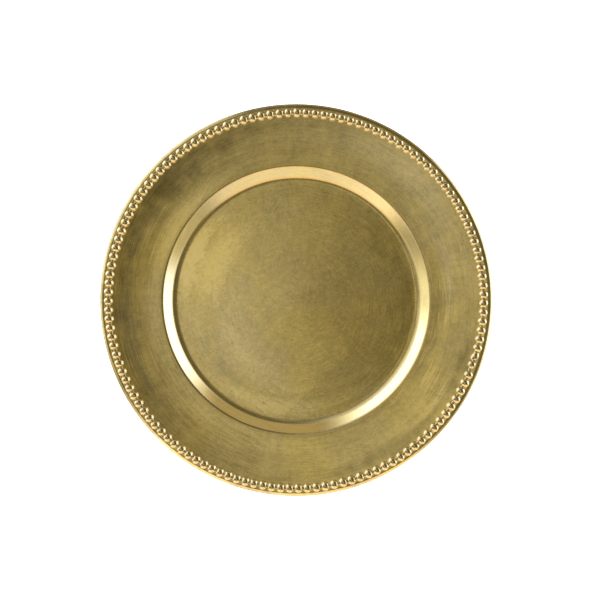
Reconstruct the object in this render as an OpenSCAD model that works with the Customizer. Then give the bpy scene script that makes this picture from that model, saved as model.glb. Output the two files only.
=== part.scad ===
// Round charger plate with a beaded border.
// A spun sheet dish, a length of bead wire soldered round its rim, a steel wire
// rolled into its edge and a foot ring soldered under its well.
// Millimetres. Z is up, the table is z = 0 and the plate's axis is the Z axis.

/* [Plate] */
// Diameter over the rolled edge
plate_d = 330; // [305:1:356]
// Thickness of the spun sheet
sheet_t = 0.8; // [0.6:0.1:1.0]

/* [Well and cove] */
// Diameter of the flat well, up to the start of its fillet
well_d = 201; // [201:1:206]
// Radius of the hollow fillet between well and cove
well_fillet_r = 8; // [4:0.5:10]
// Slope of the cove wall, in degrees
cove_a = 42; // [30:1:50]
// Width of the straight cove wall, seen from above
cove_w = 5.9; // [3:0.1:8]
// Radius of the ridge between cove and rim
ridge_r = 3.5; // [2:0.1:4]

/* [Rim] */
// Slope of the rim beside the ridge, in degrees
rim_a0 = 1.5; // [0:0.5:4]
// Slope of the rim under the beads, in degrees
rim_a1 = 8.5; // [6:0.5:12]
// Radius over which the edge turns down outside the beads
lip_r = 5.5; // [4:0.1:6]
// Slope at which the turned-down edge meets the roll, in degrees
lip_a = 35; // [30:1:60]
// How far the edge turns from the bead seat to the end of its roll, in degrees
roll_turn = 285; // [180:5:290]

/* [Bead border] */
// Number of beads on the border
bead_count = 131; // [100:1:133]
// Width of a bead at its flat underside
bead_w = 7.4; // [6:0.1:7.4]
// Height of a bead above the rim
bead_h = 2.4; // [2:0.1:3.6]
// Radius of the circle through the bead centres, below the plate's own radius
bead_inset = 7.4; // [6.4:0.1:8]
// Radius of the half round neck between two beads
neck_r = 1.2; // [1.1:0.1:1.6]
// Where the ends of the bead wire meet, in degrees from +X
joint_a = -19; // [-180:1:180]
// Gap between the ends of the bead wire
joint_gap = 1.2; // [0.4:0.1:2]
// Radius of the solder that fills the gap
joint_solder_r = 1.7; // [1.7:0.1:2.2]

/* [Edge wire] */
// Diameter of the steel wire in the rolled edge
wire_d = 2.4; // [2:0.1:3]
// Play between the wire and the roll round it
wire_play = 0.05; // [0.04:0.01:0.1]
// Where the ends of the edge wire meet, in degrees from +X
wire_joint_a = 90; // [-180:1:180]
// Gap between the ends of the edge wire
wire_gap = 0.6; // [0.2:0.1:2]

/* [Foot] */
// Mean diameter of the foot ring
foot_d = 195; // [180:1:195]
// Width of the foot ring
foot_w = 4.0; // [3:0.1:5]
// Height of the foot ring
foot_h = 3.0; // [2:0.1:5]
// Radius of the foot ring's lower edges
foot_edge_r = 0.9; // [0.4:0.1:1.2]
// Leg of the solder fillets beside the foot ring
foot_solder = 1.0; // [0.5:0.1:1.4]

/* [Hidden] */
$fn = 96;

plate_r = plate_d / 2;
well_r = well_d / 2;
well_z = foot_h + sheet_t;

// Outer radius of the rolled edge, and the radius of its wire's centre circle
roll_ro = wire_d / 2 + wire_play + sheet_t;
wire_r = plate_r - roll_ro;

// A point on a circle of radius r about c, at angle a
function on_circle(c, r, a) = [c[0] + r * cos(a), c[1] + r * sin(a)];
// n + 1 points along an arc
function arc(c, r, a0, a1, n) = [for (i = [0 : n]) on_circle(c, r, a0 + (a1 - a0) * i / n)];
function reversed(p) = [for (i = [len(p) - 1 : -1 : 0]) p[i]];

// Centres and joints of the section's upper face, from the axis outwards
well_c = [well_r, well_z + well_fillet_r];
cove_p0 = on_circle(well_c, well_fillet_r, cove_a - 90);
cove_p1 = [cove_p0[0] + cove_w, cove_p0[1] + cove_w * tan(cove_a)];
ridge_c = [cove_p1[0] + ridge_r * sin(cove_a), cove_p1[1] - ridge_r * cos(cove_a)];
ridge_p = on_circle(ridge_c, ridge_r, rim_a0 + 90);

// The bead seat is a straight cone, from inside the beads to the turned-down edge
bead_r = plate_r - bead_inset;
seat_r0 = bead_r - bead_w / 2 - 0.6;
lip_x = wire_r - (lip_r - roll_ro) * sin(lip_a);
seat_r1 = lip_x - lip_r * sin(rim_a1);
rim_R = (seat_r0 - ridge_p[0]) / (sin(rim_a1) - sin(rim_a0));
rim_c = [ridge_p[0] - rim_R * sin(rim_a0), ridge_p[1] + rim_R * cos(rim_a0)];
seat_p0 = on_circle(rim_c, rim_R, rim_a1 - 90);
seat_p1 = [seat_r1, seat_p0[1] + (seat_r1 - seat_p0[0]) * tan(rim_a1)];
lip_c = [lip_x, seat_p1[1] - lip_r * cos(rim_a1)];
wire_z = lip_c[1] + (lip_r - roll_ro) * cos(lip_a);

// The section's upper face, or with t = sheet_t its lower face
function face(t) = concat(
    [[0, well_z - t]],
    arc(well_c, well_fillet_r + t, -90, cove_a - 90, 10),
    arc(ridge_c, ridge_r - t, cove_a + 90, rim_a0 + 90, 9),
    arc(rim_c, rim_R + t, rim_a0 - 90, rim_a1 - 90, 16),
    arc(lip_c, lip_r - t, rim_a1 + 90, 90 - lip_a, 12),
    arc([wire_r, wire_z], roll_ro - t, 90 - lip_a - 8, rim_a1 + 90 - roll_turn, 24)
);

// The seat under a bead, its normal, and the sphere that a bead is a cap of
seat_n = [-sin(rim_a1), cos(rim_a1)];
bead_s = [bead_r, seat_p0[1] + (bead_r - seat_p0[0]) * tan(rim_a1)];
bead_sphere_r = (pow(bead_w / 2, 2) + pow(bead_h, 2)) / (2 * bead_h);
bead_rise = bead_h - bead_sphere_r;
bead_c = bead_s + bead_rise * seat_n;

// The bead wire starts and ends at the joint, with half a pitch to its end beads
joint_gap_a = joint_gap / bead_r * 180 / PI;
wire_gap_a = wire_gap / wire_r * 180 / PI;
bead_pitch_a = (360 - joint_gap_a) / bead_count;
bead_a0 = joint_a + joint_gap_a / 2;

// Necks run straight from bead centre to bead centre, and stop short of both
neck_short = 1.2;
neck_half_a = bead_pitch_a / 2;
neck_half_l = bead_r * sin(neck_half_a) - neck_short;
joint_half_a = (bead_pitch_a + joint_gap_a) / 2;
joint_half_l = bead_r * sin(joint_half_a) - neck_short;

// Flat undersides clear the slight curve of the seat by this much
bead_play = 0.01;
neck_play = 0.1;

// Spun sheet: flat well, cove, ridge, hollow rim and an edge turned down and rolled
// round its wire
module plate_shell() {
    color([0.72, 0.62, 0.34])
        rotate_extrude() polygon(concat(face(0), reversed(face(sheet_t))));
}

// Steel wire that stiffens the rolled edge
module edge_wire() {
    color([0.55, 0.55, 0.57])
        rotate([0, 0, wire_joint_a + wire_gap_a / 2])
            rotate_extrude(angle = 360 - wire_gap_a)
                translate([wire_r, wire_z]) circle(d = wire_d);
}

// Half space above the seat, for a shape whose centre is the origin and stands
// rise above the seat, and whose flat underside stays play above the seat
module above_seat(rise, play) {
    rotate([0, -rim_a1, 0])
        translate([0, 0, 10 - rise + play]) cube(20, center = true);
}

// One bead, a low cap with a flat underside, on the X axis
module bead() {
    translate([bead_c[0], 0, bead_c[1]])
        intersection() {
            sphere(r = bead_sphere_r);
            above_seat(bead_rise, bead_play);
        }
}

// A length of half round wire of radius r from y0 to y1, on the chord between two
// beads that stand half_a to each side of the X axis
module flat_wire(half_a, r, y0, y1, play) {
    translate([bead_r * cos(half_a), 0, bead_s[1]])
        intersection() {
            translate([0, y0, 0]) rotate([-90, 0, 0]) cylinder(r = r, h = y1 - y0);
            above_seat(0, play);
        }
}

// Bead wire: beads and necks in one length, bent to a ring that the joint leaves open
module bead_strip() {
    color([0.85, 0.72, 0.42])
        union() {
            for (i = [0 : bead_count - 1])
                rotate([0, 0, bead_a0 + (i + 0.5) * bead_pitch_a]) bead();
            for (i = [1 : bead_count - 1])
                rotate([0, 0, bead_a0 + i * bead_pitch_a])
                    flat_wire(neck_half_a, neck_r, -neck_half_l, neck_half_l, neck_play);
            rotate([0, 0, joint_a]) {
                flat_wire(joint_half_a, neck_r, joint_gap / 2, joint_half_l, neck_play);
                flat_wire(joint_half_a, neck_r, -joint_half_l, -joint_gap / 2, neck_play);
            }
        }
}

// Solder that closes the gap between the two ends of the bead wire
module bead_joint_solder() {
    color([0.66, 0.56, 0.32])
        rotate([0, 0, joint_a])
            flat_wire(joint_half_a, joint_solder_r, -joint_gap / 2, joint_gap / 2, bead_play);
}

// Ring of rectangular wire with eased lower edges, that the plate stands on
module foot_ring() {
    r0 = foot_d / 2 - foot_w / 2;
    r1 = foot_d / 2 + foot_w / 2;
    e = foot_edge_r;
    color([0.70, 0.60, 0.33])
        rotate_extrude() polygon(concat(
            [[r0, foot_h]],
            arc([r0 + e, e], e, 180, 270, 8),
            arc([r1 - e, e], e, 270, 360, 8),
            [[r1, foot_h]]
        ));
}

// One hollow fillet in the corner under the well, on side s of radius r
module solder_fillet(r, s) {
    k = foot_solder;
    rotate_extrude() polygon(concat(
        [[r, foot_h]],
        [for (i = [0 : 6]) [r + s * k * (1 - sin(i * 15)), foot_h - k * (1 - cos(i * 15))]]
    ));
}

// Solder fillet inside the foot ring
module foot_solder_inner() {
    color([0.66, 0.56, 0.32]) solder_fillet(foot_d / 2 - foot_w / 2, -1);
}

// Solder fillet outside the foot ring
module foot_solder_outer() {
    color([0.66, 0.56, 0.32]) solder_fillet(foot_d / 2 + foot_w / 2, 1);
}

plate_shell();
edge_wire();
bead_strip();
bead_joint_solder();
foot_ring();
foot_solder_inner();
foot_solder_outer();
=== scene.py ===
import bpy, math
import numpy as np
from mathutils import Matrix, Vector


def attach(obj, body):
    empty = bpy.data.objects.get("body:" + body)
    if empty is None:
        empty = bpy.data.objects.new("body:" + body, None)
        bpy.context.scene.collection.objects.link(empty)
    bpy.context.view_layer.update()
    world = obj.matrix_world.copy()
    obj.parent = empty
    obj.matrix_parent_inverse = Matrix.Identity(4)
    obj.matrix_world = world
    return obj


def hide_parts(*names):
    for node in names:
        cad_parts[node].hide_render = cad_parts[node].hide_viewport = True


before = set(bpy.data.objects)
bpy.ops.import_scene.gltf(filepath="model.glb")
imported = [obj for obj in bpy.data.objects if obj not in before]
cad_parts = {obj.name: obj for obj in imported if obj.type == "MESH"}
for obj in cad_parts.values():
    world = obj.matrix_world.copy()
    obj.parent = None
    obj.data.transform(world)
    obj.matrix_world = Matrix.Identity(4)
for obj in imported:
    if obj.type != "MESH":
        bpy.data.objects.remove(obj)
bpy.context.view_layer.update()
scene = bpy.context.scene
MM = 0.001

# ---------------------------------------------------------------- section of the plate
# The numbers are those of the CAD part, in millimetres, with z = 0 on the table.
PLATE_R, SHEET, FOOT_H = 165.0, 0.8, 3.0
WELL_R, WELL_FILLET = 100.5, 8.0
COVE_A, COVE_W, RIDGE_R = math.radians(42), 5.9, 3.5
RIM_A0, RIM_A1 = math.radians(1.5), math.radians(8.5)
ROLL_TURN, WIRE_D, WIRE_PLAY = math.radians(285), 2.4, 0.05
LIP_R, LIP_A = 5.5, math.radians(35)
BEADS, BEAD_W, BEAD_H, BEAD_R = 131, 7.4, 2.4, PLATE_R - 7.4
JOINT_A, JOINT_GAP = math.radians(-19), 1.2
FOOT_R, FOOT_W = 97.5, 4.0

WELL_Z = FOOT_H + SHEET
ROLL_RO = WIRE_D / 2 + WIRE_PLAY + SHEET
WIRE_R = PLATE_R - ROLL_RO
H = math.pi / 2


def on(c, r, a):
    return np.array([c[0] + r * math.cos(a), c[1] + r * math.sin(a)])


well_c = (WELL_R, WELL_Z + WELL_FILLET)
cove_p0 = on(well_c, WELL_FILLET, COVE_A - H)
cove_p1 = cove_p0 + COVE_W * np.array([1, math.tan(COVE_A)])
ridge_c = cove_p1 + RIDGE_R * np.array([math.sin(COVE_A), -math.cos(COVE_A)])
ridge_p = on(ridge_c, RIDGE_R, RIM_A0 + H)
seat_r0 = BEAD_R - BEAD_W / 2 - 0.6
lip_x = WIRE_R - (LIP_R - ROLL_RO) * math.sin(LIP_A)
seat_r1 = lip_x - LIP_R * math.sin(RIM_A1)
rim_R = (seat_r0 - ridge_p[0]) / (math.sin(RIM_A1) - math.sin(RIM_A0))
rim_c = ridge_p + rim_R * np.array([-math.sin(RIM_A0), math.cos(RIM_A0)])
seat_p0 = on(rim_c, rim_R, RIM_A1 - H)
seat_p1 = seat_p0 + (seat_r1 - seat_p0[0]) * np.array([1, math.tan(RIM_A1)])
lip_c = seat_p1 + LIP_R * np.array([math.sin(RIM_A1), -math.cos(RIM_A1)])
wire_c = lip_c + (LIP_R - ROLL_RO) * np.array([math.sin(LIP_A), math.cos(LIP_A)])
seat_n = np.array([-math.sin(RIM_A1), math.cos(RIM_A1)])
seat_t = np.array([math.cos(RIM_A1), math.sin(RIM_A1)])
bead_s = seat_p0 + (BEAD_R - seat_p0[0]) * np.array([1, math.tan(RIM_A1)])


def arc(c, r, a0, a1, n):
    """n points of an arc, without its last."""
    return [on(c, r, a0 + (a1 - a0) * i / n) for i in range(n)]


def line(p, q, n):
    return [p + (q - p) * i / n for i in range(n)]


def face(t):
    """The sheet's upper face from the axis to the end of the roll, or at t its lower face."""
    d = np.array([0, -t])
    a = on(well_c, WELL_FILLET + t, -H)
    b = on(well_c, WELL_FILLET + t, COVE_A - H)
    c = on(ridge_c, RIDGE_R - t, COVE_A + H)
    e = on(rim_c, rim_R + t, RIM_A1 - H)
    f = on(lip_c, LIP_R - t, RIM_A1 + H)
    pts = line(np.array([0.0, WELL_Z]) + d, a, 26)[1:]
    pts += arc(well_c, WELL_FILLET + t, -H, COVE_A - H, 14)
    pts += line(b, c, 6)
    pts += arc(ridge_c, RIDGE_R - t, COVE_A + H, RIM_A0 + H, 10)
    pts += arc(rim_c, rim_R + t, RIM_A0 - H, RIM_A1 - H, 26)
    pts += line(e, f, 6)
    pts += arc(lip_c, LIP_R - t, RIM_A1 + H, H - LIP_A, 14)
    pts += arc(wire_c, ROLL_RO - t, H - LIP_A, RIM_A1 + H - ROLL_TURN, 28)
    return pts + [on(wire_c, ROLL_RO - t, RIM_A1 + H - ROLL_TURN)]


# ---------------------------------------------------------------- meshes
def mesh_object(name, verts, faces, smooth=True):
    me = bpy.data.meshes.new(name)
    me.from_pydata([tuple(v) for v in verts], [], faces)
    me.validate()
    me.update()
    if smooth:
        me.polygons.foreach_set("use_smooth", np.ones(len(me.polygons), bool))
    o = bpy.data.objects.new(name, me)
    scene.collection.objects.link(o)
    return o


def waves(n, seed, low, high):
    """n plane waves over the plate: direction and wavelength (mm), phase, strength."""
    rng = np.random.default_rng(seed)
    a = rng.uniform(0, 2 * np.pi, n)
    w = rng.uniform(low, high, n)
    return np.c_[np.cos(a) * 2 * np.pi / w, np.sin(a) * 2 * np.pi / w], rng.uniform(0, 2 * np.pi, n), w / w.mean() / math.sqrt(n)


WK, WP, WS = waves(9, 11, 55, 120)


def warp(x, y):
    """Slight unevenness that spinning leaves in the sheet, in mm."""
    s = np.zeros_like(x)
    for k, p, m in zip(WK, WP, WS):
        s = s + m * np.sin(k[0] * x + k[1] * y + p)
    return s


def lathe(name, profile, n, bend=0.0):
    """A closed solid of revolution. The profile runs from the axis, out and back to it."""
    profile = np.array(profile)
    a = np.arange(n) * 2 * np.pi / n
    x = profile[:, 0, None] * np.cos(a)
    y = profile[:, 0, None] * np.sin(a)
    z = np.repeat(profile[:, 1, None], n, 1)
    # the warp dies away at the rolled edge and over the foot ring
    fade = np.clip((154 - np.hypot(x, y)) / 25, 0, 1) * np.clip((np.hypot(x, y) - 101) / 8, 0, 1)
    inner = np.clip((92 - np.hypot(x, y)) / 25, 0, 1)
    z = z + bend * warp(x, y) * (fade + inner)
    return x, y, z, n


def shell_object():
    top, low = face(0), face(SHEET)
    prof = top + low[::-1]
    x, y, z, n = lathe("plate_shell", prof, 380, bend=0.02)
    m = len(prof)
    verts = np.c_[x.ravel(), y.ravel(), z.ravel()] * MM
    faces = []
    for j in range(m - 1):
        for i in range(n):
            k = (i + 1) % n
            faces.append((j * n + i, (j + 1) * n + i, (j + 1) * n + k, j * n + k))
    tip, tail = len(verts), len(verts) + 1
    verts = np.vstack([verts, [0, 0, WELL_Z * MM], [0, 0, FOOT_H * MM]])
    for i in range(n):
        k = (i + 1) % n
        faces.append((tip, i, k))
        faces.append((tail, (m - 1) * n + k, (m - 1) * n + i))
    return mesh_object("spun_plate", verts, faces)


def strip_object():
    """The bead wire as one tube whose section swells at each bead, from joint to joint."""
    rng = np.random.default_rng(7)
    gap = JOINT_GAP / BEAD_R
    pitch = (2 * math.pi - gap) / BEADS
    a0 = JOINT_A + gap / 2
    w0 = BEAD_W / 2
    ball = (w0 ** 2 + BEAD_H ** 2) / (2 * BEAD_H)  # radius of the sphere that a bead is a cap of
    deep = ball - BEAD_H
    neck_w, neck_h = 1.4, 0.55
    rows = []  # angle, place along the bead from -1 to 1, half width, height, side shift, slant
    for i in range(BEADS):
        c = a0 + (i + 0.5) * pitch
        at = 3.70 * (1 + rng.normal(0, 0.014))
        ar = 3.92 * (1 + rng.normal(0, 0.014))
        ah = 2.40 * (1 + rng.normal(0, 0.02))
        shift, slant = rng.normal(0, 0.07), rng.normal(0, 0.02)
        if 0 < i < BEADS - 1:
            c += rng.normal(0, 0.11) / BEAD_R
        if i in (6, 119):      # dented while the wire was bent
            at, slant = 4.05, 0.12
        if i == 0:
            at, ar, ah, shift, slant = 4.5, 3.4, 2.2, -0.25, 0.30
            c -= 0.35 / BEAD_R
        if i == BEADS - 1:
            at, ar, ah, shift, slant = 4.0, 3.5, 2.25, -0.5, 0.0
            c += 1.7 / BEAD_R
        for j in range(19):
            q = -math.cos(0.12 + (math.pi - 0.24) * j / 18)
            rows.append((c + at * q / BEAD_R, q, ar, ah, shift, slant))
    # both cut ends meet the solder, which the ring's place off centre leaves where it is
    slip = 0.52 / BEAD_R
    rows.insert(0, (a0 + slip, -1.0, 3.4, 2.2, rows[0][4], 0.0))
    rows.append((a0 + BEADS * pitch + slip, 1.0, 3.5, 2.25, rows[-1][4], 0.0))
    # the wire was cut through its last bead, and no row runs past that cut
    for i in range(len(rows) - 2, len(rows) - 20, -1):
        rows[i] = (min(rows[i][0], rows[i + 1][0] - 2e-4), *rows[i][1:])
    # necks between beads never run backwards
    for i in range(1, len(rows)):
        rows[i] = (max(rows[i][0], rows[i - 1][0] + 2e-4), *rows[i][1:])
    n = 22
    verts = []
    for a, q, ar, ah, shift, slant in rows:
        rho = math.sqrt(ball ** 2 - (w0 * q) ** 2)
        w = max(math.sqrt(max(rho ** 2 - deep ** 2, 0.0)) * ar / w0, neck_w)
        for j in range(n + 1):
            u = w * math.cos(math.pi * j / n)
            v = (math.sqrt(max(rho ** 2 - (u * w0 / ar) ** 2, 0.0)) - deep) * ah / BEAD_H
            v = max(v, neck_h * math.sqrt(max(1 - (u / neck_w) ** 2, 0.0)), 0.0)
            aa = a + slant * u / BEAD_R
            p = bead_s + (u + shift) * seat_t + (v - 0.06) * seat_n
            verts.append((p[0] * math.cos(aa), p[0] * math.sin(aa), p[1]))
    m = n + 1
    faces = []
    for j in range(len(rows) - 1):
        for q in range(m):
            k = (q + 1) % m
            faces.append((j * m + q, j * m + k, (j + 1) * m + k, (j + 1) * m + q))
    faces.append(tuple(range(m))[::-1])
    faces.append(tuple((len(rows) - 1) * m + q for q in range(m)))
    # the ring was soldered on a hair off centre
    o = mesh_object("bead_wire", (np.array(verts) + [-0.3, -0.45, 0.0]) * MM, faces)
    # the flat underside and the cut ends stay sharp
    me = o.data
    for p in me.polygons:
        idx = sorted(v % m for v in p.vertices)
        if len(p.vertices) > 4 or (idx[0] == 0 and idx[-1] == n):
            p.use_smooth = False
    return o


# ---------------------------------------------------------------- materials
class Tree:
    """A small helper that adds nodes and links them."""

    def __init__(self, tree):
        self.t = tree
        tree.nodes.clear()

    def add(self, kind, inputs=None, **props):
        n = self.t.nodes.new(kind)
        for k, v in props.items():
            setattr(n, k, v)
        for k, v in (inputs or {}).items():
            s = n.inputs[k]
            if isinstance(v, bpy.types.NodeSocket):
                self.t.links.new(v, s)
            else:
                s.default_value = v
        return n

    def math(self, op, a, b=0.0, c=0.0, clamp=False):
        n = self.add("ShaderNodeMath", {0: a, 1: b, 2: c}, operation=op, use_clamp=clamp)
        return n.outputs[0]

    def ramp01(self, v, lo, hi):
        """Smooth step from 0 at lo to 1 at hi, or down if lo is above hi."""
        n = self.add("ShaderNodeMapRange", {"Value": v, "From Min": lo, "From Max": hi, "To Min": 0.0, "To Max": 1.0},
                     interpolation_type="SMOOTHSTEP", clamp=True)
        return n.outputs[0]

    def mapr(self, v, lo, hi, a, b):
        n = self.add("ShaderNodeMapRange", {"Value": v, "From Min": lo, "From Max": hi, "To Min": a, "To Max": b}, clamp=True)
        return n.outputs[0]

    def mix(self, f, a, b, kind="RGBA", blend="MIX"):
        n = self.add("ShaderNodeMix", data_type=kind, blend_type=blend)
        names = {"RGBA": (6, 7, 2), "FLOAT": (2, 3, 0)}[kind]
        for s, v in ((0, f), (names[0], a), (names[1], b)):
            if isinstance(v, bpy.types.NodeSocket):
                self.t.links.new(v, n.inputs[s])
            else:
                n.inputs[s].default_value = v
        return n.outputs[names[2]]


def new_material(name):
    m = bpy.data.materials.new(name)
    m.use_nodes = True
    return m, Tree(m.node_tree)


def polar(t):
    """Object position split into unit direction, radius in metres, and the parts."""
    co = t.add("ShaderNodeTexCoord").outputs["Object"]
    xyz = t.add("ShaderNodeSeparateXYZ", {0: co})
    x, y, z = xyz.outputs
    r = t.math("SQRT", t.math("ADD", t.math("MULTIPLY", x, x), t.math("MULTIPLY", y, y)))
    rs = t.math("MAXIMUM", r, 0.0004)
    return co, t.math("DIVIDE", x, rs), t.math("DIVIDE", y, rs), r, z


def grooves(t, along, across, seed, detail=2.0, cx=0.0, cy=0.0):
    """Noise drawn out along circles about (cx, cy): features of 1/along radians by 1/across metres."""
    co = t.add("ShaderNodeTexCoord").outputs["Object"]
    xyz = t.add("ShaderNodeSeparateXYZ", {0: co})
    x = t.math("SUBTRACT", xyz.outputs[0], cx)
    y = t.math("SUBTRACT", xyz.outputs[1], cy)
    r = t.math("SQRT", t.math("ADD", t.math("MULTIPLY", x, x), t.math("MULTIPLY", y, y)))
    rs = t.math("MAXIMUM", r, 0.0004)
    v = t.add("ShaderNodeCombineXYZ", {
        0: t.math("MULTIPLY", t.math("DIVIDE", x, rs), along),
        1: t.math("MULTIPLY", t.math("DIVIDE", y, rs), along),
        2: t.math("MULTIPLY_ADD", r, across, seed)}).outputs[0]
    return t.add("ShaderNodeTexNoise", {"Vector": v, "Scale": 1.0, "Detail": detail, "Roughness": 0.55}).outputs["Fac"]


def scratches(t, angles):
    """Short straight scratches in several directions, 0 to 1."""
    co = t.add("ShaderNodeTexCoord").outputs["Object"]
    total = None
    for i, a in enumerate(angles):
        v = t.add("ShaderNodeMapping", {"Vector": co, "Location": (0.37 * i, 0.11 * i, 0.0), "Rotation": (0, 0, math.radians(a)),
                                        "Scale": (130.0, 1150.0, 1.0)}).outputs[0]
        n = t.add("ShaderNodeTexNoise", {"Vector": v, "Scale": 1.0, "Detail": 1.0, "Roughness": 0.5}).outputs["Fac"]
        n = t.ramp01(n, 0.60, 0.74)
        total = n if total is None else t.math("MAXIMUM", total, n)
    return total


def brushed_brass(name, base, rough, aniso, groove_mm, tilt, seed=0.0):
    """Spun brass under clear lacquer: turned in the well, brushed by hand round the rim."""
    m, t = new_material(name)
    co, ux, uy, rad, z = polar(t)
    g1 = grooves(t, 5.0, 1250.0, 3.1 + seed)
    g2 = grooves(t, 4.0, 760.0, 41.7 + seed, cx=0.006, cy=-0.004)
    g3 = grooves(t, 2.4, 260.0, 7.9 + seed, cx=-0.005, cy=0.003)
    mott = t.add("ShaderNodeTexNoise", {"Vector": co, "Scale": 230.0, "Detail": 2.0, "Roughness": 0.6}).outputs["Fac"]
    fine = t.add("ShaderNodeTexNoise", {"Vector": co, "Scale": 700.0, "Detail": 2.0, "Roughness": 0.6}).outputs["Fac"]
    cloud = t.add("ShaderNodeTexNoise", {"Vector": co, "Scale": 60.0, "Detail": 4.0, "Roughness": 0.6}).outputs["Fac"]
    blot = t.add("ShaderNodeTexNoise", {"Vector": co, "Scale": 14.0, "Detail": 3.0, "Roughness": 0.5}).outputs["Fac"]
    flat = t.math("SUBTRACT", 1.0, t.math("MULTIPLY", t.ramp01(rad, 0.1015, 0.1045), t.ramp01(rad, 0.1155, 0.1135)))
    mixg = t.math("ADD", t.math("MULTIPLY", g1, 0.5), t.math("MULTIPLY", g2, 0.3))
    mixg = t.math("ADD", mixg, t.math("MULTIPLY", g3, 0.2))
    streak = t.math("SUBTRACT", mixg, 0.5)
    # scratchy patches, where the brush bit deeper
    bite = t.math("MULTIPLY", t.ramp01(blot, 0.50, 0.68), t.ramp01(g1, 0.56, 0.70))
    g4 = grooves(t, 9.0, 620.0, 17.3 + seed, cx=0.055, cy=0.030)
    cross = t.math("MULTIPLY", t.ramp01(blot, 0.48, 0.36), t.math("SUBTRACT", g4, 0.5))
    tone = t.math("MULTIPLY_ADD", streak, t.mapr(rad, 0.020, 0.112, 0.45, 1.15), 1.0)
    tone = t.math("MULTIPLY_ADD", bite, t.mapr(rad, 0.100, 0.115, 0.32, 0.50), tone)
    tone = t.math("MULTIPLY_ADD", cross, 0.55, tone)
    tone = t.math("MULTIPLY_ADD", t.math("SUBTRACT", blot, 0.5), t.mapr(rad, 0.105, 0.120, 0.12, 0.36), tone)
    tone = t.math("MULTIPLY_ADD", t.math("SUBTRACT", fine, 0.5), t.mapr(rad, 0.098, 0.115, 0.58, 0.46), tone)
    tone = t.math("MULTIPLY_ADD", t.math("SUBTRACT", mott, 0.5), 0.44, tone)
    side = t.ramp01(t.math("MULTIPLY_ADD", ux, 0.87, t.math("MULTIPLY", uy, -0.5)), 0.15, 0.95)
    calm = t.math("MULTIPLY_ADD", side, -0.40, 1.0)
    tone = t.math("MULTIPLY_ADD", t.math("SUBTRACT", cloud, 0.5), t.math("MULTIPLY", calm, t.mapr(rad, 0.105, 0.120, 0.46, 0.84)), tone)
    tone = t.math("MULTIPLY_ADD", t.math("SUBTRACT", tone, 1.0), t.mapr(flat, 0.0, 1.0, 0.35, 1.0), 1.0)
    # painted shade and light: the plate is made a little darker towards the top and lighter towards the bottom,
    # standing in for how the light fell across it
    sep = t.add("ShaderNodeSeparateXYZ", {0: co}).outputs
    tone = t.math("MULTIPLY", tone, t.math("MULTIPLY_ADD", sep[1], -0.75, 1.0))
    # patches where the tone is raised and lowered, partly uneven hand brushing and partly painted sheen and painted
    # shade: middle (mm), half sizes along and across the turning, gain, paleness (a painted pale reflection)
    pale = t.math("MULTIPLY", t.ramp01(blot, 0.62, 0.40), 0.5)
    flecks = scratches(t, (22, 71, 118, 158))
    painted_sheen_mask = 0.10
    wob = t.math("MULTIPLY", t.math("SUBTRACT", cloud, 0.5), 1.6)
    for mx, my, along, across, gain, pl in SHEEN_AND_SHADE_SPOTS:
        a = math.atan2(my, mx)
        u = t.math("ADD", t.math("MULTIPLY", sep[0], math.cos(a)), t.math("MULTIPLY_ADD", sep[1], math.sin(a), -math.hypot(mx, my) * MM))
        v = t.math("SUBTRACT", t.math("MULTIPLY", sep[1], math.cos(a)), t.math("MULTIPLY", sep[0], math.sin(a)))
        u = t.math("ADD", u, t.math("DIVIDE", t.math("MULTIPLY", v, v), 2 * math.hypot(mx, my) * MM))
        u = t.math("DIVIDE", u, across * MM)
        v = t.math("DIVIDE", v, along * MM)
        d = t.math("SQRT", t.math("ADD", t.math("MULTIPLY", u, u), t.math("MULTIPLY", v, v)))
        k = t.ramp01(t.math("ADD", d, wob), 1.35, 0.15)
        tone = t.math("MULTIPLY", tone, t.math("MULTIPLY_ADD", k, gain, 1.0))
        if gain > 0.25:
            painted_sheen_mask = t.math("ADD", painted_sheen_mask, k)
        if pl:
            pale = t.math("MULTIPLY_ADD", k, pl, pale)
    # real scratches are drawn lighter and paler inside the strongest patches of painted sheen, a painted glint on them
    tone = t.math("MULTIPLY", tone, t.math("MULTIPLY_ADD", t.math("MULTIPLY", flecks, painted_sheen_mask), 0.24, 1.0))
    pale = t.math("MULTIPLY_ADD", t.math("MULTIPLY", flecks, painted_sheen_mask), 0.7, pale)
    # painted shade: the lower right of the well is darker beyond two straight lines, standing in for the edge of a
    # reflection across the turned well
    da = t.math("MULTIPLY_ADD", sep[0], 0.687 / MM, t.math("MULTIPLY_ADD", sep[1], -0.727 / MM, -63.6))
    db = t.math("MULTIPLY_ADD", sep[0], 0.951 / MM, t.math("MULTIPLY_ADD", sep[1], 0.310 / MM, -27.6))
    painted_wedge_shade = t.math("MAXIMUM", t.ramp01(da, -1.2, 1.2), t.ramp01(db, -1.2, 1.2))
    painted_wedge_shade = t.math("MULTIPLY", painted_wedge_shade, t.ramp01(rad, 0.103, 0.101))
    painted_wedge_shade = t.math("MULTIPLY", painted_wedge_shade, t.ramp01(sep[1], 0.000, -0.040))
    tone = t.math("MULTIPLY", tone, t.math("MULTIPLY_ADD", painted_wedge_shade, -0.14, 1.0))
    tone = t.math("MINIMUM", tone, 1.42)
    hue = t.mix(t.math("MINIMUM", pale, 1.0), (base[0], base[1] * 0.995, base[2] * 0.95, 1), (base[0] * 0.93, base[1] * 0.965, base[2] * 1.22, 1))
    col = t.add("ShaderNodeVectorMath", {0: hue, 3: tone}, operation="SCALE").outputs[0]
    r = t.math("ADD", t.mapr(flat, 0.0, 1.0, rough - 0.05, rough), t.math("MULTIPLY", streak, 0.25))
    r = t.math("ADD", r, t.math("MULTIPLY", t.math("SUBTRACT", cloud, 0.5), 0.10))
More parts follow.
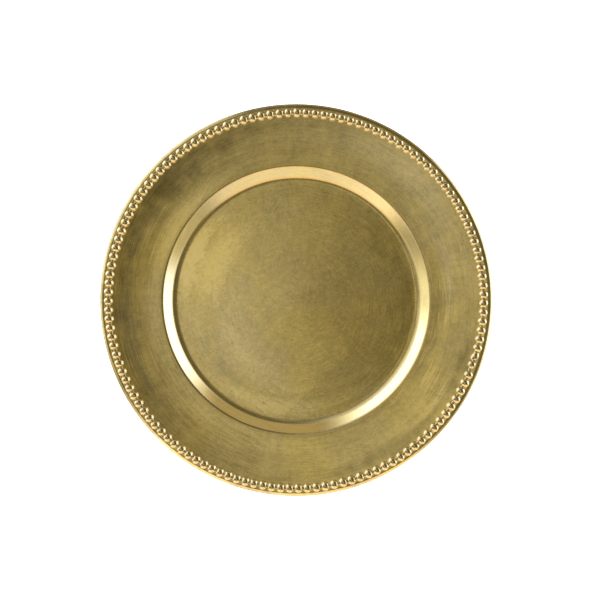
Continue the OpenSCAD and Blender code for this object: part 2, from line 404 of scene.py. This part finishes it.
    # the hollow beside the well can't be buffed, and the ridge is worn dull
    nook = t.math("MULTIPLY", t.ramp01(rad, 0.1004, 0.1024), t.ramp01(rad, 0.1066, 0.1048))
    crest = t.math("MULTIPLY", t.ramp01(rad, 0.1112, 0.1130), t.ramp01(rad, 0.1170, 0.1148))
    r = t.math("ADD", r, t.math("MULTIPLY", nook, t.math("MULTIPLY_ADD", side, 0.16, 0.05)))
    r = t.math("ADD", r, t.math("MULTIPLY", crest, t.math("MULTIPLY_ADD", side, 0.14, 0.09)))
    # the turned grooves lean outwards in the well, which gives its sheen round the centre
    rin = t.math("MINIMUM", rad, 0.1005)
    lean = t.math("MULTIPLY", t.math("SQRT", t.math("MULTIPLY_ADD", rin, rin, 0.012 ** 2)), -math.tan(math.radians(tilt)) / MM)
    height = t.math("MULTIPLY_ADD", mixg, groove_mm, lean)
    bump = t.add("ShaderNodeBump", {"Strength": 1.0, "Distance": MM, "Height": height})
    tan = t.add("ShaderNodeTangent", direction_type="RADIAL", axis="Z").outputs[0]
    b = t.add("ShaderNodeBsdfPrincipled", {"Base Color": col, "Metallic": 1.0, "Roughness": r, "Anisotropic": aniso,
                                           "Tangent": tan, "Normal": bump.outputs[0]})
    t.add("ShaderNodeOutputMaterial", {0: b.outputs[0]})
    return m


def plain_brass(name, base, rough, bump_mm=0.01, scale=300.0):
    m, t = new_material(name)
    co = t.add("ShaderNodeTexCoord").outputs["Object"]
    n = t.add("ShaderNodeTexNoise", {"Vector": co, "Scale": scale, "Detail": 3.0, "Roughness": 0.6}).outputs["Fac"]
    big = t.add("ShaderNodeTexNoise", {"Vector": co, "Scale": scale * 0.12, "Detail": 3.0}).outputs["Fac"]
    tone = t.math("MULTIPLY_ADD", t.math("SUBTRACT", big, 0.5), 0.3, 1.0)
    col = t.add("ShaderNodeVectorMath", {0: (*base, ), 3: tone}, operation="SCALE").outputs[0]
    r = t.math("ADD", rough, t.math("MULTIPLY", t.math("SUBTRACT", n, 0.5), 0.2))
    bump = t.add("ShaderNodeBump", {"Strength": 1.0, "Distance": bump_mm * MM, "Height": n})
    b = t.add("ShaderNodeBsdfPrincipled", {"Base Color": col, "Metallic": 1.0, "Roughness": r, "Normal": bump.outputs[0]})
    t.add("ShaderNodeOutputMaterial", {0: b.outputs[0]})
    return m


GOLD = (0.69, 0.533, 0.212)
# patches of painted sheen and painted shade on the spun plate, partly uneven brushing; paleness paints a pale
# reflection
SHEEN_AND_SHADE_SPOTS = [
    (-67, 34, 40, 15, 0.38, 0.0),     # well, upper left
    (-86, 41, 38, 7.5, 0.55, 0.0),    # well, left edge
    (-54, -8, 46, 8, 0.09, 0.0),      # well, left, further in
    (4, 92, 52, 8, -0.08, 0.0),       # well, top edge
    (-88, -4, 34, 12, 0.10, 0.2),     # well, left
    (-46, -44, 40, 26, 0.04, 0.95),   # well, lower left
    (-46, 14, 30, 20, 0.02, 0.5),     # well, left of the middle
    (-46, -46, 50, 8, 0.16, 0.2),     # well, lower left, a band of brushing
    (-60, -59, 30, 6, -0.10, 0.0),    # well, lower left, between two bands
    (-4, -92, 60, 8, 0.30, 0.0),      # well, bottom
    (-10, -75, 46, 6, 0.14, 0.0),     # well, bottom, further in
    (94, -4, 42, 7, -0.20, 0.0),      # well, right edge
    (66, 62, 34, 16, -0.12, 0.0),     # well, upper right
    (-99, 67, 50, 9, 0.44, 0.0),      # rim, upper left beside the cove
    (-102, 104, 54, 11, -0.32, 0.2),  # rim, upper left beside the beads
    (-136, 50, 28, 6, -0.20, 0.6),    # rim, left above its middle, beside the beads
    (-30, 143, 22, 6, -0.14, 0.0),    # rim, top beside the beads
    (25, 147, 24, 6, -0.14, 0.0),     # rim, top beside the beads, further right
    (-122, 64, 24, 4, 0.20, 0.3),     # rim, upper left, a short brush mark
    (-87, 117, 16, 4, 0.26, 0.0),     # rim, upper left, another beside the beads
    (-44, -116, 70, 10, 0.17, 0.1),   # rim, bottom beside the cove
    (92, 110, 60, 14, 0.19, 0.9),     # rim, upper right
    (118, -14, 64, 6, -0.21, 0.2),    # rim, right beside the cove
    (126, 30, 44, 7, 0.0, 0.8),       # rim, right, paler
    (138, -32, 66, 13, -0.20, 0.0),   # rim, right beside the beads
    (95, -114, 90, 7.5, -0.28, 0.0),  # rim, lower right beside the beads
    (116, -87, 38, 3.4, 0.36, 0.0),   # rim, lower right, a long brush mark
    (139, -54, 20, 7, -0.20, 0.0),    # rim, lower right, above the end of the mark
    (-140, -32, 52, 8, -0.19, 1.0),   # rim, left beside the beads
    (-121, -10, 46, 7, 0.12, 0.3),    # rim, left beside the cove
]

shell = shell_object()
strip = strip_object()
shell.data.materials.append(brushed_brass("brushed_brass", GOLD, 0.20, 0.4, 0.005, 1.5))
strip.data.materials.append(plain_brass("bead_brass", (0.685, 0.542, 0.252), 0.14, 0.004, 500.0))
for o, node in ((shell, "plate_shell"), (strip, "bead_strip")):
    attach(o, "root")
    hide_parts(node)

foot_mat = plain_brass("foot_brass", (0.66, 0.51, 0.22), 0.3, 0.01, 200.0)
solder_mat = plain_brass("solder", (0.54, 0.44, 0.22), 0.45, 0.03, 400.0)
steel_mat = plain_brass("edge_wire_steel", (0.44, 0.44, 0.46), 0.35, 0.005, 300.0)
for node, mat, slot in (("foot_ring", foot_mat, "foot_brass"), ("foot_solder_inner", solder_mat, "solder"),
                        ("foot_solder_outer", solder_mat, "solder"), ("bead_joint_solder", solder_mat, "solder"),
                        ("edge_wire", steel_mat, "edge_wire_steel")):
    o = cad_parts[node]
    o.data.materials.clear()
    o.data.materials.append(mat)

# ---------------------------------------------------------------- stage
world = bpy.data.worlds.new("studio")
scene.world = world
world.use_nodes = True
world.cycles.sampling_method = "AUTOMATIC"
t = Tree(world.node_tree)
gen = t.add("ShaderNodeTexCoord").outputs["Generated"]
xyz = t.add("ShaderNodeSeparateXYZ", {0: gen})
wx, wy, wz = xyz.outputs
az = t.math("MULTIPLY", t.math("ARCTAN2", t.math("MULTIPLY", wy, -1.0), wx), 180 / math.pi)   # clockwise from +X, degrees
zen = t.math("MULTIPLY", t.math("ARCCOSINE", wz), 180 / math.pi)                                # from straight up, degrees
zx = t.math("MULTIPLY", zen, t.math("COSINE", t.math("MULTIPLY", az, math.pi / 180)))
zy = t.math("MULTIPLY", zen, t.math("SINE", t.math("MULTIPLY", az, math.pi / 180)))


def patch(a, half, soft, z0, z1, zs, color, strength):
    """A soft-edged panel: azimuth a +- half, zenith angle z0 to z1, in degrees."""
    d = t.math("ABSOLUTE", t.math("WRAP", t.math("SUBTRACT", az, a), -180.0, 180.0))
    m = t.ramp01(d, half + soft / 2, half - soft / 2)
    m = t.math("MULTIPLY", m, t.ramp01(zen, z0 - zs / 2, z0 + zs / 2))
    m = t.math("MULTIPLY", m, t.ramp01(zen, z1 + zs / 2, z1 - zs / 2))
    return t.add("ShaderNodeVectorMath", {0: color, 3: t.math("MULTIPLY", m, strength)}, operation="SCALE").outputs[0]


def total(parts):
    s = parts[0]
    for p in parts[1:]:
        s = t.add("ShaderNodeVectorMath", {0: s, 1: p}, operation="ADD").outputs[0]
    return s


# dim room, warmest overhead
dim = t.mix(t.ramp01(zen, 14.0, 34.0), (0.17, 0.153, 0.090, 1), (0.125, 0.116, 0.085, 1))
parts = [dim]
# overhead: brighter to the left of the camera, dimmer and warmer to its right
over = t.math("MULTIPLY", t.ramp01(zx, 9.5, -7.0), t.ramp01(zx, -21.0, -8.0))
over = t.math("MULTIPLY", over, t.ramp01(zen, 25.0, 13.0))
tint = t.mix(over, (1.0, 0.98, 0.68, 1), (1.0, 1.02, 0.98, 1))
parts.append(t.add("ShaderNodeVectorMath", {0: tint, 3: t.math("MULTIPLY", over, 0.38)}, operation="SCALE").outputs[0])
# softboxes left and right, a card below, dull wall above
fade = t.math("MULTIPLY_ADD", t.ramp01(zen, 64.0, 80.0), 0.42, 0.58)
parts.append(patch(219, 30, 20, 35, 114, 18, (1.35, 1.45, 1.75), fade))
parts.append(patch(215, 24, 16, 76, 97, 8, (0.35, 0.5, 1.8), 1.0))
parts.append(patch(180, 14, 20, 62, 104, 10, (1.0, 1.10, 1.35), 0.72))
parts.append(patch(347, 28, 20, 62, 118, 10, (1.4, 1.5, 1.8), 1.0))
parts.append(patch(348, 24, 16, 76, 97, 8, (0.30, 0.45, 1.75), 1.0))
card = t.mix(t.ramp01(zen, 76.0, 62.0), (1.0, 0.98, 1.08, 1), (1.10, 0.895, 0.74, 1))
parts.append(patch(95, 46, 18, 39, 125, 18, card, 0.95))
parts.append(patch(150, 30, 40, 50, 125, 14, (1.0, 0.97, 0.92), 0.40))
parts.append(patch(30, 16, 16, 60, 125, 14, (1.0, 1.0, 1.0), 0.45))
parts.append(patch(40, 26, 16, 92, 130, 10, (1.0, 0.98, 0.92), 0.8))
parts.append(patch(288, 34, 20, 64, 96, 12, (1.0, 0.87, 0.60), 0.30))
studio = total(parts)
lp = t.add("ShaderNodeLightPath")
seen = t.mix(lp.outputs["Is Diffuse Ray"], studio, (0.72, 0.72, 0.72, 1))
seen = t.mix(lp.outputs["Is Camera Ray"], seen, (1.92, 1.92, 1.92, 1))
bg = t.add("ShaderNodeBackground", {"Color": seen, "Strength": 1.25})
t.add("ShaderNodeOutputWorld", {0: bg.outputs[0]})

floor = mesh_object("floor", [(-4, -4, 0), (4, -4, 0), (4, 4, 0), (-4, 4, 0)], [(0, 1, 2, 3)], smooth=False)
fm, ft = new_material("pale_floor")
fco, fux, fuy, fr, fz = polar(ft)
# the floor glows evenly away from the plate but not under it, which paints the plate's shadow beneath it
glow_and_painted_shadow = ft.mapr(fr, 0.140, 0.175, 0.0, 1.75)
fb = ft.add("ShaderNodeBsdfPrincipled", {"Base Color": (0.82, 0.82, 0.82, 1), "Roughness": 0.9, "Emission Color": (1, 1, 1, 1), "Emission Strength": glow_and_painted_shadow})
ft.add("ShaderNodeOutputMaterial", {0: fb.outputs[0]})
floor.data.materials.append(fm)
floor.visible_glossy = False

scene.view_settings.view_transform = "Standard"
scene.view_settings.look = "None"
scene.view_settings.exposure = 0.0
scene.view_settings.gamma = 1.0

# ---------------------------------------------------------------- camera, straight above the plate
PX = 0.33 / 392.0            # metres per pixel of the 600 pixel frame at the rim's height
DIST = 1.4
cam = bpy.data.cameras.new("camera")
cam.sensor_width = 36.0
cam.lens = 18.0 / (300 * PX / DIST)
cam.clip_start, cam.clip_end = 0.05, 30
eye = bpy.data.objects.new("camera", cam)
scene.collection.objects.link(eye)
eye.location = (3.75 * PX, 0.1 * PX, DIST + 0.0135)
eye.rotation_euler = (0, 0, 0)
scene.camera = eye
